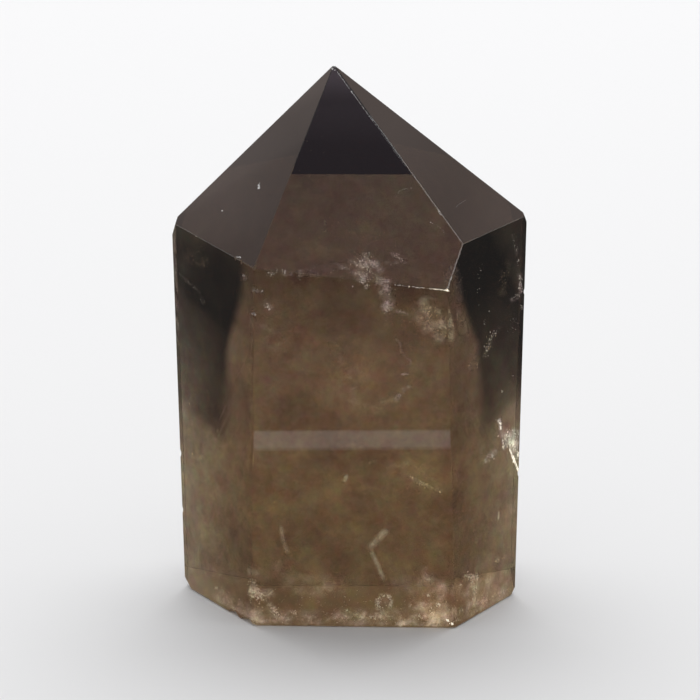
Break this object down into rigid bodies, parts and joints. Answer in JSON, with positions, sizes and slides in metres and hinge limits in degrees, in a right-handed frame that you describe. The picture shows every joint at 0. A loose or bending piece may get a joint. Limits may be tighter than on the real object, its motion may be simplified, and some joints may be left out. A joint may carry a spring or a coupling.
{
  "type": "smoky quartz crystal",
  "caption": "Standing point of smoky quartz: a flat six-sided prism under a six-faced tip, with a sawn flat foot, see-through brown with pale veils.",
  "frame": {"origin": "under the middle of the bounding box, on the flat foot", "axes": "+Z along the crystal towards its tip, -Y out of the widest prism face, +X to the right of that face"},
  "size_m": [0.0476, 0.0288, 0.075],
  "materials": {
    "crystal": "polished smoky quartz, clear brown, darker towards the tip"
  },
  "bodies": {
    "root": {"crystal": "crystal"}
  },
  "joints": []
}
